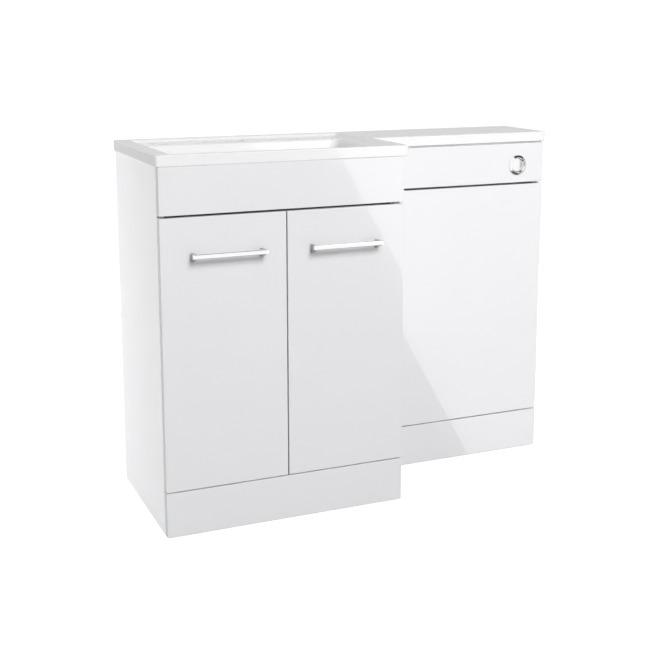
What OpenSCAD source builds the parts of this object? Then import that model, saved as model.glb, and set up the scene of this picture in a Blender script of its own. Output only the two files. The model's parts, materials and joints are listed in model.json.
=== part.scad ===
// Toilet and basin combination unit. A basin cupboard with two doors stands beside a shallower toilet
// unit that hides a cistern, and one L-shaped cast worktop with a bowl covers both.
// Width runs along X, the doors face -Y, and Z is up from the floor.

/* [Overall size] */
// Width of the whole worktop
total_w = 1106; // [1040:1:1300]
// Height from the floor to the top of the worktop
total_h = 870; // [850:1:920]
// Width of the deep, basin part of the worktop
deck_w = 602; // [590:1:700]
// Depth of the basin part of the worktop
deck_d = 403; // [390:1:470]
// Depth of the toilet part of the worktop
wc_deck_d = 202; // [195:1:260]
// Thickness of the worktop at its edge
deck_t = 25; // [22:1:32]

/* [Worktop and bowl] */
// How far the worktop stands past the basin cupboard at its left end
end_reveal = 4; // [1:1:10]
// How far the deep part stands past the basin cupboard at the step
step_reveal = 11; // [4:1:20]
// How far the worktop stands past the toilet unit at its right end
wc_reveal = 5; // [1:1:10]
// Radius of the worktop's upright corners
corner_r = 4; // [2:1:10]
// Width of the rim left of the bowl
rim_side = 37; // [34:1:60]
// Width of the rim in front of the bowl
rim_front = 19; // [19:1:40]
// Width of the deck right of the bowl, up to the step
rim_right = 53; // [49:1:120]
// Width of the rim behind the tap ledge
rim_back = 19; // [17:1:50]
// Depth of the bowl below the rim
bowl_depth = 102; // [90:1:104]
// How far the bowl's walls draw in through the thickness of the worktop
bowl_roll = 9; // [9:1:16]
// How far the left edge of the bowl's floor lies in from the rim
lean_l = 16; // [14:1:40]
// How far the right edge of the bowl's floor lies in from the rim
lean_r = 34; // [18:1:60]
// How far the front edge of the bowl's floor lies in from the rim
lean_f = 14; // [13:1:30]
// How far the back edge of the bowl's floor lies in from the rim
lean_b = 18; // [14:1:30]
// Radius between the bowl's walls and its floor
bowl_floor_r = 24; // [14:1:30]
// Radius of the soft edge between the bowl's right wall and the deck
lip_r = 18; // [8:1:22]
// Thickness of the bowl's walls and floor
bowl_t = 8; // [6:1:8]
// How far the tap ledge lies below the rim
ledge_drop = 8; // [4:1:9]
// Depth of the tap ledge behind the bowl
ledge_d = 71; // [60:1:74]
// Length of the slope at the right end of the ledge
ledge_slope = 26; // [10:1:30]
// Diameter of the tap hole
tap_hole_d = 35; // [32:1:38]
// Diameter of the waste hole
waste_hole_d = 45; // [40:1:52]

/* [Boards] */
// Thickness of side panels, rails and base
board = 16; // [15:1:19]
// Thickness of doors, fascias, front panel and plinths
front_t = 18; // [17:1:19]
// Bumper gap between fronts and carcass
bumper = 2; // [2:0.5:3]
// Bevel along the edges of the fronts
edge_ease = 0.8; // [0.4:0.1:1.5]
// Height of a plinth
plinth_h = 105; // [90:1:130]
// Gap between a plinth and the front above it
low_gap = 2.5; // [2:0.5:4]
// Height of the basin cupboard's fascia
fascia_h = 106; // [100:1:112]
// Height of the toilet unit's fascia
wc_fascia_h = 103; // [98:1:108]
// Gap between a fascia and the worktop above the basin cupboard
deck_gap = 1; // [1:0.5:2]
// Gap between a fascia and the front below it
seam_gap = 5; // [2:0.5:6]
// Gap between the two doors
door_gap = 3; // [2:0.5:5]
// Height of the plastic glides
glide_h = 2; // [2:1:6]
// Height of the upright back rails
rail_h = 100; // [70:1:110]
// Depth of the flat front rails
rail_d = 60; // [45:1:70]
// Height of the shelf's underside above the floor
shelf_z = 400; // [300:1:500]
// Depth of the shelf
shelf_d = 260; // [200:1:300]

/* [Handles] */
// Length of a bar handle
handle_l = 174; // [120:1:200]
// How far a handle stands out from its door
handle_reach = 30; // [24:1:40]
// Height of the handle's bar
handle_bar_h = 9; // [7:0.5:12]
// Thickness of the handle's bar
handle_bar_t = 8; // [6:0.5:10]
// Height of a handle's foot on the door
handle_foot_h = 20; // [16:1:26]
// Width of a handle's foot
handle_foot_w = 9; // [8:1:16]
// Distance from a door's top to the middle of its handle
handle_drop = 84; // [50:1:200]
// Distance of a handle's middle from its door's middle, towards the other door
handle_shift = 6; // [-20:1:20]

/* [Hinges] */
// Diameter of the hinge cup
cup_d = 34.8; // [34.8:0.1:34.9]
// Clearance between the cup and its hole, on the radius
cup_clear = 0.1; // [0.1:0.05:0.2]
// Distance from the door's edge to the cup's hole
cup_tab = 5; // [5:0.5:6]
// Depth of the cup
cup_depth = 12; // [11:0.5:12.5]
// Distance of the upper and lower hinges from the door's ends
hinge_end = 90; // [80:1:140]

/* [Flush button] */
// Distance from the toilet unit's right side to the button
button_side = 78; // [60:1:140]
// Distance from the top of the worktop to the middle of the button
button_drop = 86; // [80:1:86]
// Diameter of the chrome bezel
bezel_d = 52; // [48:1:60]
// Diameter of the push cap
cap_d = 34; // [28:1:34]
// Travel of the push cap
cap_travel = 5; // [3:0.5:6]
// How far the bezel stands out from the fascia
bezel_out = 7; // [5:0.5:9]

/* [Cistern] */
// Room between the tank and the side panel on each side
tank_side = 39; // [36:1:60]
// Depth of the tank
tank_d = 140; // [130:1:144]
// Height of the tank
tank_h = 330; // [300:1:335]
// Thickness of the tank's walls
tank_t = 3; // [2.5:0.5:5]
// Radius of the tank's corners
tank_r = 22; // [10:1:30]
// Gap between the tank and the front rail above it
tank_gap = 10; // [6:1:14]
// Diameter of the flush pipe
pipe_d = 40; // [32:1:40]
// Distance from the tank's floor down to the middle of the flush pipe's outlet
pipe_drop = 70; // [68:1:110]
// Lift of the flush seal
seal_lift = 18; // [10:1:24]
// Travel of the fill valve's float
float_travel = 40; // [20:1:50]

/* [Hidden] */

$fn = 48;
eps = 0.01;              // overshoot of a cut past the face that it opens
snug = 0.05;             // radial clearance of pins and screws that don't turn
pin_clear = 0.05;        // radial clearance of a hinge pin in what turns on it
slip = 0.4;              // clearance of the push cap, the seal's tube and the float

// Places across the width
left_x = -total_w / 2;
right_x = total_w / 2;
step_x = left_x + deck_w;
van_l = left_x + end_reveal;
van_r = step_x - step_reveal;
wc_l = van_r;
wc_r = right_x - wc_reveal;
wc_mid = (wc_l + wc_r) / 2;
seam_x = (van_l + van_r) / 2;

// Places from front to back
unit_d = deck_d + handle_reach;
front_y = handle_reach - unit_d / 2;
back_y = unit_d / 2;
van_y = front_y + front_t + bumper;
wc_front_y = back_y - wc_deck_d;
wc_y = wc_front_y + front_t + bumper;

// Places up the height
deck_z = total_h - deck_t;
plinth_top = glide_h + plinth_h;
door_z = plinth_top + low_gap;
fascia_z = deck_z - deck_gap - fascia_h;
door_top = fascia_z - seam_gap;
base_z = plinth_top - board / 2;
base_top = base_z + board;
front_rail_z = fascia_z + 2;
van_rail_z = front_rail_z - board;       // the basin cupboard's rail closes the seam from behind
van_rail_y = van_y + 20;
handle_z = door_top - handle_drop;
button_z = total_h - button_drop;

// Bowl
rim_z = total_h;
ledge_z = total_h - ledge_drop;
bowl_l = left_x + rim_side;
bowl_r = step_x - rim_right;
bowl_f = front_y + rim_front;
bowl_b = front_y + deck_d - rim_back - ledge_d;
bowl_z = total_h - bowl_depth;
shoulder_z = deck_z - 2;
ledge_b = bowl_b + ledge_d;
tap = [left_x + deck_w / 2, bowl_b + ledge_d / 2];
waste = [left_x + deck_w / 2, (bowl_f + bowl_b) / 2];
waste_boss_h = 6;
top_corner_r = 5;

// Hinges, in the plan of one door: X from the cupboard's outer face, Y from the carcass's front edge.
// The link swings 30 degrees on the arm's pin while the door opens by 95.
cup_r = cup_d / 2;
cup_wall = 1;
cup_x = cup_tab + cup_clear + cup_r;
door_pivot = [11, -bumper - 2.5];
arm_pivot = [35, -bumper - 1.5];
hinge_pin_r = 1.2;
knuckle_r = 2.2;
link_half = 4;           // half the link's width
cheek_t = 1;             // sheet thickness of the arm
cheek_in = link_half + 0.3;
cheek_out = cheek_in + cheek_t;
plate_t = 3;
plate_y = 37;            // the mounting plate's screw line behind the carcass's front edge
plate_screw = 16;        // half the distance between its screws
plate_h = 44;
plate_half = 7;
arm_back = 60;           // the arm's rear end behind the carcass's front edge
hinge_zs = [door_z + hinge_end, door_top - hinge_end];

// Fittings
cam_r = 7.5;
cam_depth = 12.5;
cam_h = 11;
cam_set = 24;            // from a rail's end to its cam
base_cam_in = 60;        // from the base's front and back edges to its cams
bolt_r = 3.5;
bolt_bite = 10;          // how far a cam bolt goes into a side panel
shelf_pin_r = 2.5;
handle_screw_r = 2;
glue_block_w = 14;
glue_block_h = 40;
glue_block_low = 30;     // from a plinth's top down to its blocks
glue_block_up = 48;      // from a fascia's bottom up to its blocks
glue_block_zs = [plinth_top - glue_block_h - glue_block_low, fascia_z + glue_block_up];
glide_l = 40;
glide_w = 12;
nail_r = 1.5;
clip_r = 4;
clip_stem_r = 2.5;
clip_bite = 10;          // how far a clip's stem goes into the front panel
socket_h = 18;
socket_d = 14;
join_r = 4;              // radius of the bolts that join the two units
join_head = 2;           // thickness of their flat heads
join_in = 50;            // from the toilet unit's front edges to the bolts
wall_hole_r = 3;
wall_hole_in = 70;       // from a unit's side to its wall fixing holes

// Flush button
button_x = wc_r - button_side;
bezel_r = bezel_d / 2;
cap_r = cap_d / 2;
sleeve_in = cap_r + slip;
sleeve_r = sleeve_in + 1.6;
sleeve_l = 34;
nut_h = 8;
nut_r = sleeve_r + 5;
chamber_l = 26;
cap_l = 16;
cap_stem_r = 4;
spigot_r = 2.2;
spigot_l = 12;

// Cistern
tank_back = back_y - board;
tank_front = tank_back - tank_d;
tank_mid_y = (tank_back + tank_front) / 2;
tank_w = wc_r - wc_l - 2 * board - 2 * tank_side;
tank_top = front_rail_z - tank_gap;
tank_z = tank_top - tank_h;
pipe_z = tank_z - pipe_drop;
pipe_r = pipe_d / 2;
pipe_t = 2;
tail_in = pipe_r + snug;
tail_r = tail_in + 3.5;
tail_l = 30;
seat_z = tank_z + tank_t;
flange_r = 36;
flange_h = 4;
seal_r = 30;
seal_h = 5;
seal_z = seat_z + flange_h;
tube_r = 11;
tube_h = 190;
cage_r = 32;
cage_h = flange_h + tube_h + seal_lift + 50;
cage_ring_h = 8;
fill_x = wc_mid - 0.35 * tank_w;
fill_r = 11;
fill_tail_r = 10.4;
inlet_r = 9.9;           // free end of the fill valve's tail, which takes the supply
inlet_l = 20;
inlet_wall = 3.9;
fill_tail_l = 14;
fill_flange_r = 18;
fill_head_r = 17;
float_stop_r = 15;
fill_nut_h = 8;
fill_head_h = 34;
float_r = 30;
float_h = 46;
float_z = seat_z + 150;
fill_h = float_z - seat_z + float_h + float_travel + fill_head_h;
ear_w = 24;
ear_h = 40;
ear_t = 6;
ear_z = tank_top - 55;
ear_screw_r = 3;
ear_xs = [wc_mid - tank_w / 2 - ear_w / 2, wc_mid + tank_w / 2 + ear_w / 2];
lid_t = 3;
lid_skirt = 12;
lid_gap = 0.5;
elbow_r = 34;
pipe_end_gap = 12;       // from the flush pipe's end to the front panel's back
hose_r = 3.5;
hose_bore_r = spigot_r + snug;

// Centre of a pipe or pin, and the air hose's route from the button to the flush valve
button_back = wc_front_y + sleeve_l + chamber_l;
valve_spigot_z = seat_z + cage_h + cage_ring_h;
hose_start = [button_x, button_back, button_z];
hose_end = [wc_mid, tank_mid_y, valve_spigot_z];
hose_route = [hose_start, hose_start + [0, 8, 0], hose_start + [0, 20, 0], hose_start + [-8, 36, 4],
  hose_start + [-30, 48, 8], hose_start + [-70, 46, 8], hose_start + [-110, 34, 4],
  hose_end + [32, 3, 94], hose_end + [9, 0, 82], hose_end + [0, 0, 62], hose_end + [0, 0, 44],
  hose_end + [0, 0, 22], hose_end + [0, 0, 8], hose_end];

// ---- Shared shapes ----

// A box between two corners
module block(lo, hi) translate(lo) cube(hi - lo);

module eased_rect(a, b, e)
  polygon([[e, 0], [a - e, 0], [a, e], [a, b - e], [a - e, b], [e, b], [0, b - e], [0, e]]);

// A board between two corners, with all its edges bevelled
module eased_block(lo, hi) {
  s = hi - lo;
  translate(lo) intersection() {
    linear_extrude(s.z) eased_rect(s.x, s.y, edge_ease);
    translate([0, s.y, 0]) rotate([90, 0, 0]) linear_extrude(s.y) eased_rect(s.x, s.z, edge_ease);
    rotate([90, 0, 90]) linear_extrude(s.x) eased_rect(s.y, s.z, edge_ease);
  }
}

// A shape drawn in X and Z, extruded along Y from y0 to y1
module along_y(y0, y1) translate([0, y1, 0]) rotate([90, 0, 0]) linear_extrude(y1 - y0) children();

// A round bar along Y from y0 to y1
module rod_y(x, z, r, y0, y1) translate([x, y0, z]) rotate([-90, 0, 0]) cylinder(r = r, h = y1 - y0);

// A round bar along X from x0 to x1
module rod_x(y, z, r, x0, x1) translate([x0, y, z]) rotate([0, 90, 0]) cylinder(r = r, h = x1 - x0);

function unit(v) = v / norm(v);

// The corner at p of an outline, rounded towards its neighbours q and s
function arc_at(q, p, s, r, n = 5) =
  let (u = unit(q - p), w = unit(s - p), c = p + r * (u + w))
  [for (i = [0 : n]) c - r * (w * cos(90 * i / n) + u * sin(90 * i / n))];

function rounded(pts, r) = let (n = len(pts))
  [for (i = [0 : n - 1]) each arc_at(pts[(i + n - 1) % n], pts[i], pts[(i + 1) % n], r)];

// ---- Worktop ----

deck_outline = [[left_x, front_y], [step_x, front_y], [step_x, wc_front_y], [right_x, wc_front_y],
  [right_x, back_y], [left_x, back_y]];

// One level of the bowl: round corners of radius r, this far in from the rim on each side
module bowl_ring(z, h, r, l, rt, f, b)
  for (x = [bowl_l + l + r, bowl_r - rt - r], y = [bowl_f + f + r, bowl_b - b - r])
    translate([x, y, z]) cylinder(r = r, h = h, $fn = 32);

module bowl_floor(z, r, grow)
  for (x = [bowl_l + lean_l + bowl_floor_r, bowl_r - lean_r - bowl_floor_r],
       y = [bowl_f + lean_f + bowl_floor_r, bowl_b - lean_b - bowl_floor_r])
    translate([x, y, z + bowl_floor_r]) sphere(r = r + grow, $fn = 32);

module bowl_hollow() {
  hull() {
    bowl_ring(rim_z, 1, top_corner_r, 0, 0, 0, 0);
    bowl_ring(shoulder_z, 1, top_corner_r, bowl_roll, bowl_roll, bowl_roll, bowl_roll);
  }
  hull() {
    bowl_ring(shoulder_z, 1, top_corner_r, bowl_roll, bowl_roll, bowl_roll, bowl_roll);
    bowl_floor(bowl_z, bowl_floor_r, 0);
  }
}

module bowl_shell() {
  in = bowl_roll - bowl_t;
  hull() {
    bowl_ring(shoulder_z, deck_z - shoulder_z + 1, top_corner_r + bowl_t, in, in, in, in);
    bowl_floor(bowl_z, bowl_floor_r, bowl_t);
  }
}

// The sunken level that carries the tap, with a slope up to the deck at its right end
module ledge_hollow() {
  slope_x = bowl_r + lip_r + 4;
  along_y(bowl_f, ledge_b) polygon([[bowl_l, ledge_z], [slope_x, ledge_z],
    [slope_x + ledge_slope, rim_z], [slope_x + ledge_slope, rim_z + 1], [bowl_l, rim_z + 1]]);
}

// What the round lip takes off the edge between the bowl's right wall and the ledge level
module lip_cut() {
  wall_angle = atan(bowl_roll / (rim_z - shoulder_z));
  edge = [bowl_r - ledge_drop * tan(wall_angle), ledge_z];
  reach = lip_r / tan((90 + wall_angle) / 2);
  centre = [edge.x + reach, ledge_z - lip_r];
  foot = edge - reach * [sin(wall_angle), cos(wall_angle)];
  along_y(bowl_f + top_corner_r, bowl_b - top_corner_r) difference() {
    polygon([[edge.x - 3, ledge_z + 1], [centre.x, ledge_z + 1], centre, foot,
      [edge.x - 3 - reach * sin(wall_angle), foot.y]]);
    translate(centre) circle(r = lip_r, $fn = 96);
  }
}

module basin_top() color("white") difference() {
  union() {
    translate([0, 0, deck_z]) linear_extrude(deck_t) polygon(rounded(deck_outline, corner_r));
    bowl_shell();
    translate([waste.x, waste.y, bowl_z - bowl_t - waste_boss_h])
      cylinder(r = waste_hole_d / 2 + 12, h = waste_boss_h + bowl_t);
  }
  bowl_hollow();
  ledge_hollow();
  lip_cut();
  translate([tap.x, tap.y, deck_z - 1]) cylinder(r = tap_hole_d / 2, h = deck_t + 2);
  translate([waste.x, waste.y, bowl_z - bowl_t - waste_boss_h - 1])
    cylinder(r = waste_hole_d / 2, h = bowl_t + waste_boss_h + 2);
  translate([waste.x, waste.y, bowl_z - 2])
    cylinder(r1 = waste_hole_d / 2 + 6, r2 = waste_hole_d / 2 + 9, h = 3);
}

// ---- Cams, which pull each rail against a side panel ----
// Each entry: middle of the rail's end, the way the rail leaves it, and 1 for a flat or 0 for an upright rail

function both_ends(l, r, y, z, flat) = [[[l, y, z], 1, flat], [[r, y, z], -1, flat]];

van_in_l = van_l + board;
van_in_r = van_r - board;
wc_in_l = wc_l + board;
wc_in_r = wc_r - board;
upper_rail_z = deck_z - rail_h / 2;
lower_rail_z = base_top + rail_h / 2;
middle_rail_z = ear_z - 25;
bottom_rail_z = base_z + board / 2;
back_rail_y = back_y - board / 2;
flat_rail_z = front_rail_z + board / 2;

cams_base = concat(both_ends(van_in_l, van_in_r, van_y + base_cam_in, base_z + board / 2, 1),
  both_ends(van_in_l, van_in_r, back_y - base_cam_in, base_z + board / 2, 1));
cams_front = both_ends(van_in_l, van_in_r, van_rail_y + rail_d / 2, van_rail_z + board / 2, 1);
cams_upper = both_ends(van_in_l, van_in_r, back_rail_y, upper_rail_z, 0);
cams_lower = both_ends(van_in_l, van_in_r, back_rail_y, lower_rail_z, 0);
cams_wc_front = both_ends(wc_in_l, wc_in_r, wc_y + rail_d / 2, flat_rail_z, 1);
cams_wc_bottom = both_ends(wc_in_l, wc_in_r, wc_y + rail_d / 2, bottom_rail_z, 1);
cams_wc_upper = both_ends(wc_in_l, wc_in_r, back_rail_y, upper_rail_z, 0);
cams_wc_middle = both_ends(wc_in_l, wc_in_r, back_rail_y, middle_rail_z, 0);

// Children stand on the face that the cam goes into, pointing into the rail
module at_cam(c) translate(c[0] + [c[1] * cam_set, 0, 0])
  rotate([c[2] == 1 ? 0 : -90, 0, 0]) translate([0, 0, -board / 2]) children();

module cam_bores(list) for (c = list) {
  at_cam(c) translate([0, 0, -eps]) cylinder(r = cam_r, h = cam_depth);
  x = c[0].x;
  rod_x(c[0].y, c[0].z, bolt_r, min(x, x + c[1] * cam_set) - eps, max(x, x + c[1] * cam_set) + eps);
}

module side_bores(list) for (c = list)
  rod_x(c[0].y, c[0].z, bolt_r, c[0].x - (c[1] > 0 ? bolt_bite : eps),
    c[0].x + (c[1] > 0 ? eps : bolt_bite));

// A cam with its bolt, as two separate solids
module cams(list) for (c = list) {
  head = c[0].x + c[1] * cam_set;
  end = c[0].x - c[1] * bolt_bite;
  color("silver") difference() {
    at_cam(c) cylinder(r = cam_r - snug, h = cam_h);
    rod_x(c[0].y, c[0].z, bolt_r, head - cam_r, head + cam_r);
  }
  color("gainsboro") rod_x(c[0].y, c[0].z, bolt_r - snug, min(head, end) + snug, max(head, end) - snug);
}

module rail(lo, hi, list) color("white") difference() {
  block(lo, hi);
  cam_bores(list);
  if (list[0][2] == 0) for (x = [lo.x + wall_hole_in, hi.x - wall_hole_in])
    rod_y(x, list[0][0].z, wall_hole_r, lo.y - 1, hi.y + 1);
}

// ---- Side panels ----

module side_panel(x, y0, bores) color("white") difference() {
  block([x, y0, glide_h], [x + board, back_y, deck_z]);
  side_bores(bores);
  for (y = [y0 + glide_l / 2, back_y - glide_l / 2])
    translate([x + board / 2, y, glide_h - eps]) cylinder(r = nail_r, h = 12);
  children();
}

shelf_y = van_y + 20;
shelf_pin_ys = [shelf_y + 25, shelf_y + shelf_d - 55];
van_bores = concat(cams_base, cams_front, cams_upper, cams_lower);
wc_bores = concat(cams_wc_front, cams_wc_bottom, cams_wc_upper, cams_wc_middle);
join_y = wc_y + join_in;
join_zs = [base_top + (door_top - base_top) / 4, door_top - (door_top - base_top) / 5];

module shelf_pin_bores(x) for (y = shelf_pin_ys)
  rod_x(y, shelf_z - shelf_pin_r, shelf_pin_r, x - 8, x + 8);

module plate_screw_bores(x) for (z = hinge_zs, s = [-1, 1])
  rod_x(van_y + plate_y, z + s * plate_screw, 1.5, x - 11, x + 11);

module join_bores() for (z = join_zs) rod_x(join_y, z, join_r, van_in_r - 1, wc_in_l + 1);

module vanity_side_left() side_panel(van_l, van_y, van_bores) {
  shelf_pin_bores(van_in_l);
  plate_screw_bores(van_in_l);
}

module vanity_side_right() side_panel(van_in_r, van_y, van_bores) {
  shelf_pin_bores(van_in_r);
  plate_screw_bores(van_in_r);
  join_bores();
}

module wc_side_left() side_panel(wc_l, wc_y, wc_bores) join_bores();

module wc_side_right() side_panel(wc_in_r, wc_y, wc_bores);

// ---- Basin cupboard ----

module vanity_base() rail([van_in_l, van_y, base_z], [van_in_r, back_y, base_top], cams_base);

module vanity_front_rail()
  rail([van_in_l, van_rail_y, van_rail_z], [van_in_r, van_rail_y + rail_d, van_rail_z + board], cams_front);

module vanity_upper_rail()
  rail([van_in_l, back_y - board, deck_z - rail_h], [van_in_r, back_y, deck_z], cams_upper);

module vanity_lower_rail()
  rail([van_in_l, back_y - board, base_top], [van_in_r, back_y, base_top + rail_h], cams_lower);

module vanity_fascia() color("whitesmoke")
  eased_block([van_l, front_y, fascia_z], [van_r, front_y + front_t, fascia_z + fascia_h]);

module vanity_plinth() color("whitesmoke")
  eased_block([van_l, front_y, glide_h], [van_r, front_y + front_t, plinth_top]);

module shelf() color("white")
  block([van_in_l + 1, shelf_y, shelf_z], [van_in_r - 1, shelf_y + shelf_d, shelf_z + board]);

module shelf_pins() color("silver") for (y = shelf_pin_ys, x = [van_in_l, van_in_r])
  rod_x(y, shelf_z - shelf_pin_r, shelf_pin_r - snug, x - 8 + snug, x + 8 - snug);

// ---- Doors, drawn for the left one and mirrored for the right one ----

module on_left() children();
module on_right() translate([2 * seam_x, 0, 0]) mirror([1, 0, 0]) children();

handle_x = (van_l + seam_x - door_gap / 2) / 2 + handle_shift;
foot_xs = [handle_x - handle_l / 2 + handle_foot_w / 2, handle_x + handle_l / 2 - handle_foot_w / 2];

module door() color("whitesmoke") difference() {
  eased_block([van_l, front_y, door_z], [seam_x - door_gap / 2, front_y + front_t, door_top]);
  for (z = hinge_zs) rod_y(van_l + cup_x, z, cup_r + cup_clear, front_y + front_t - cup_depth - 0.5,
    front_y + front_t + 1);
  for (x = foot_xs) rod_y(x, handle_z, handle_screw_r + 0.3, front_y - 1, front_y + front_t + 1);
}

// Outline of a handle's foot from the side: wide on the door, drawn in to the bar
module foot_outline() {
  a = handle_foot_h / 2;
  b = handle_bar_h / 2 + 1;
  polygon([[0, -a], [0, a], [-3, a], [-handle_reach + handle_bar_t, b + 1.5], [-handle_reach + 1, b],
    [-handle_reach, b - 1], [-handle_reach, 1 - b], [-handle_reach + 1, -b],
    [-handle_reach + handle_bar_t, -b - 1.5], [-3, -a]]);
}

module handle() color("silver") difference() {
  union() {
    for (x = foot_xs) translate([x - handle_foot_w / 2, front_y, handle_z])
      rotate([90, 0, 90]) linear_extrude(handle_foot_w) foot_outline();
    translate([handle_x - handle_l / 2, front_y - handle_reach, handle_z - handle_bar_h / 2])
      rotate([90, 0, 90]) linear_extrude(handle_l) eased_rect(handle_bar_t, handle_bar_h, 1);
  }
  for (x = foot_xs) rod_y(x, handle_z, handle_screw_r, front_y - 12, front_y + eps);
}

module handle_screws() color("silver") for (x = foot_xs) {
  rod_y(x, handle_z, handle_screw_r - snug, front_y - 10, front_y + front_t + 1);
  rod_y(x, handle_z, 4, front_y + front_t, front_y + front_t + 1.6);
}

module at_hinges() for (z = hinge_zs) translate([van_l, van_y, z]) children();

module upright(p, r, half) translate([p.x, p.y, -half]) cylinder(r = r, h = 2 * half);

module cup_cut(r, y0, y1) rod_y(cup_x, 0, r, y0, y1);

// Cup with its flange on the door's back
module hinge_cups() color("silver") at_hinges() difference() {
  union() {
    cup_cut(cup_r, -bumper - cup_depth, -bumper);
    cup_cut(cup_r + 1.5, -bumper, -bumper + 1);
    block([cup_x - 8, -bumper, -30], [cup_x + 8, -bumper + 1, 30]);
  }
  cup_cut(cup_r - cup_wall, -bumper - cup_depth + cup_wall, -bumper + 2);
  upright(door_pivot, hinge_pin_r + snug / 2, cup_r);
  block([-1, -bumper - 3.2, -link_half - 1], [cup_tab + 3, -bumper + 2, link_half + 1]);
}

// As long as the cup is tall where the pin crosses it
cup_pin_half = sqrt(pow(cup_r, 2) - pow(cup_x - door_pivot.x + hinge_pin_r, 2));

module cup_pins() color("gainsboro") at_hinges() upright(door_pivot, hinge_pin_r, cup_pin_half);

module hinge_link() color("gainsboro") at_hinges() {
  span = door_pivot - arm_pivot;
  difference() {
    union() {
      upright(arm_pivot, knuckle_r, link_half);
      upright(door_pivot, knuckle_r, link_half);
      translate([arm_pivot.x, arm_pivot.y, -link_half]) rotate([0, 0, atan2(span.y, span.x)])
        translate([0, -1.2, 0]) cube([norm(span), 2.4, 2 * link_half]);
    }
    upright(arm_pivot, hinge_pin_r + pin_clear, link_half + 1);
    upright(door_pivot, hinge_pin_r + pin_clear, link_half + 1);
  }
}

// Arm: a folded channel from the mounting plate to the nose that dips into the cup
arm_outline = [[board + plate_t, arm_back], [board + plate_t, 26], [24, 18], [28, 6], [32.7, -1],
  [arm_pivot.x - 2.4, arm_pivot.y], [arm_pivot.x - 1.6, arm_pivot.y - 1.8],
  [arm_pivot.x + 1.6, arm_pivot.y - 1.8], [arm_pivot.x + 2.4, arm_pivot.y], [37.4, 0], [36.5, 8],
  [33, 20], [31, 34], [31, arm_back]];
arm_inside = [[0, arm_back + 1], [0, 10], [26, 2], [31, -1], [31, -8], [42, -8], [42, arm_pivot.y + 2.6],
  [35.8, arm_pivot.y + 2.6], [35, 8], [31.5, 19.5], [29.5, 34], [29.5, arm_back + 1]];

module hinge_arm() difference() {
  translate([0, 0, -cheek_out]) linear_extrude(2 * cheek_out) polygon(arm_outline);
  translate([0, 0, -cheek_in]) linear_extrude(2 * cheek_in) polygon(arm_inside);
  upright(arm_pivot, hinge_pin_r + snug / 2, cheek_out + 1);
}

module hinge_plate() {
  difference() {
    union() {
      block([board, plate_y - plate_half, -plate_h / 2],
        [board + plate_t, plate_y + plate_half, plate_h / 2]);
      block([board, plate_y - 9, 0.2 - cheek_in], [board + plate_t + 5, arm_back - 2, cheek_in - 0.2]);
    }
    for (s = [-1, 1]) rod_x(plate_y, s * plate_screw, 2, board - 1, board + plate_t + 1);
  }
  for (s = [-1, 1]) {
    rod_x(plate_y, s * plate_screw, 1.45, board - 10, board + plate_t);
    rod_x(plate_y, s * plate_screw, 3.6, board + plate_t, board + plate_t + 1.6);
  }
}

module hinge_plates() color("silver") {
  on_left() at_hinges() hinge_plate();
  on_right() at_hinges() hinge_plate();
}

module hinge_arms() color("silver") {
  on_left() at_hinges() hinge_arm();
  on_right() at_hinges() hinge_arm();
}

module arm_pins() color("gainsboro") {
  on_left() at_hinges() upright(arm_pivot, hinge_pin_r, cheek_out);
  on_right() at_hinges() upright(arm_pivot, hinge_pin_r, cheek_out);
}

// ---- Toilet unit ----

module wc_front_rail()
  rail([wc_in_l, wc_y, front_rail_z], [wc_in_r, wc_y + rail_d, front_rail_z + board], cams_wc_front);

module wc_bottom_rail()
  rail([wc_in_l, wc_y, base_z], [wc_in_r, wc_y + rail_d, base_top], cams_wc_bottom);

module wc_upper_rail()
  rail([wc_in_l, back_y - board, deck_z - rail_h], [wc_in_r, back_y, deck_z], cams_wc_upper);

module wc_middle_rail() difference() {
  rail([wc_in_l, back_y - board, middle_rail_z - rail_h / 2],
    [wc_in_r, back_y, middle_rail_z + rail_h / 2], cams_wc_middle);
  for (x = ear_xs) rod_y(x, ear_z, ear_screw_r, tank_back - eps, tank_back + 13);
}

wc_front_l = wc_l + 1.5;

module wc_fascia() color("whitesmoke") difference() {
  eased_block([wc_front_l, wc_front_y, fascia_z], [wc_r, wc_front_y + front_t, fascia_z + wc_fascia_h]);
  rod_y(button_x, button_z, sleeve_r + 0.5, wc_front_y - 1, wc_front_y + front_t + 1);
}

clip_end = 60;           // from the front panel's ends to its clips
clip_zs = [door_z + clip_end, door_top - clip_end];
clip_in = 10;            // from a side panel's inner face to its clips

module at_clips() for (x = [wc_in_l + clip_in, wc_in_r - clip_in], z = clip_zs)
  translate([x, wc_front_y + front_t, z]) children();

module wc_panel() color("whitesmoke") difference() {
  eased_block([wc_front_l, wc_front_y, door_z], [wc_r, wc_front_y + front_t, door_top]);
  at_clips() rod_y(0, 0, clip_stem_r, -clip_bite, 1);
}

module wc_plinth() color("whitesmoke")
  eased_block([wc_front_l, wc_front_y, glide_h], [wc_r, wc_front_y + front_t, plinth_top]);

module clip_studs() color("gainsboro") at_clips() {
  rod_y(0, 0, clip_stem_r - snug, 0.5 - clip_bite, bumper);
  rod_y(0, 0, clip_r - snug, bumper - 1.5, bumper + socket_d - 2);
}

module clip_sockets() color("white") at_clips() difference() {
  block([-clip_in, bumper, -socket_h / 2], [clip_in, bumper + socket_d, socket_h / 2]);
  rod_y(0, 0, clip_r, bumper - 1, bumper + socket_d - 1);
}

// Corner blocks that hold the fixed fronts to the side panels
module glue_blocks() color("white")
  for (u = [[van_in_l, van_in_r, front_y + front_t], [wc_in_l, wc_in_r, wc_front_y + front_t]])
    for (x = [u[0], u[1] - glue_block_w], z = glue_block_zs)
      block([x, u[2], z], [x + glue_block_w, u[2] + bumper + glue_block_w, z + glue_block_h]);

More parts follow.
